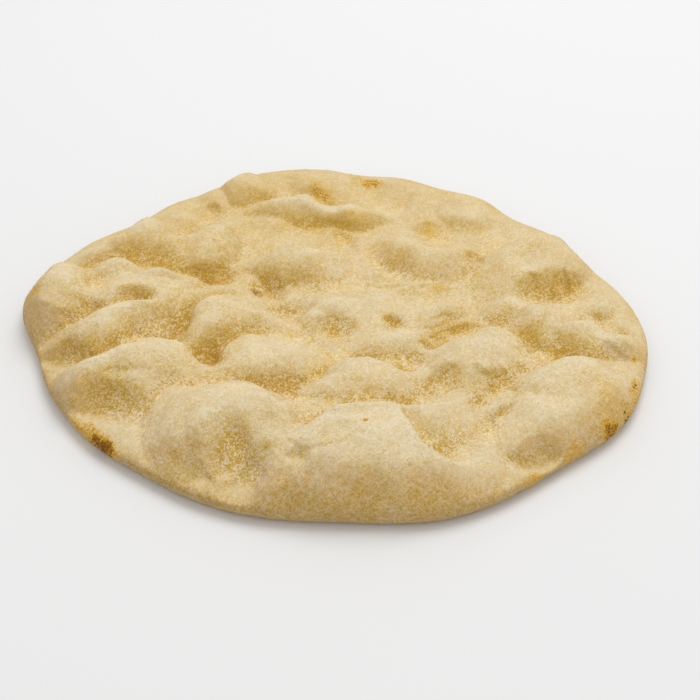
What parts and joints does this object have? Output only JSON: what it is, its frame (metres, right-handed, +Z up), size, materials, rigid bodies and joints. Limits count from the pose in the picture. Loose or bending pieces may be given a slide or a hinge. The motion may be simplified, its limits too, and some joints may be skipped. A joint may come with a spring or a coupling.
{
  "type": "pinsa crust",
  "caption": "Hand-pressed oval pinsa base, baked plain: blistered and dimpled pale top dusted with semolina, rounded rim, flat underside.",
  "frame": {"origin": "middle of the crust's flat underside, at the centre of its plan outline", "axes": "+X along the longer side of the oval, +Y across it, +Z up out of the blistered top"},
  "size_m": [0.298, 0.2608, 0.0322],
  "materials": {
    "baked_dough": null
  },
  "bodies": {
    "root": {"pinsa_crust": "baked_dough"}
  },
  "joints": []
}
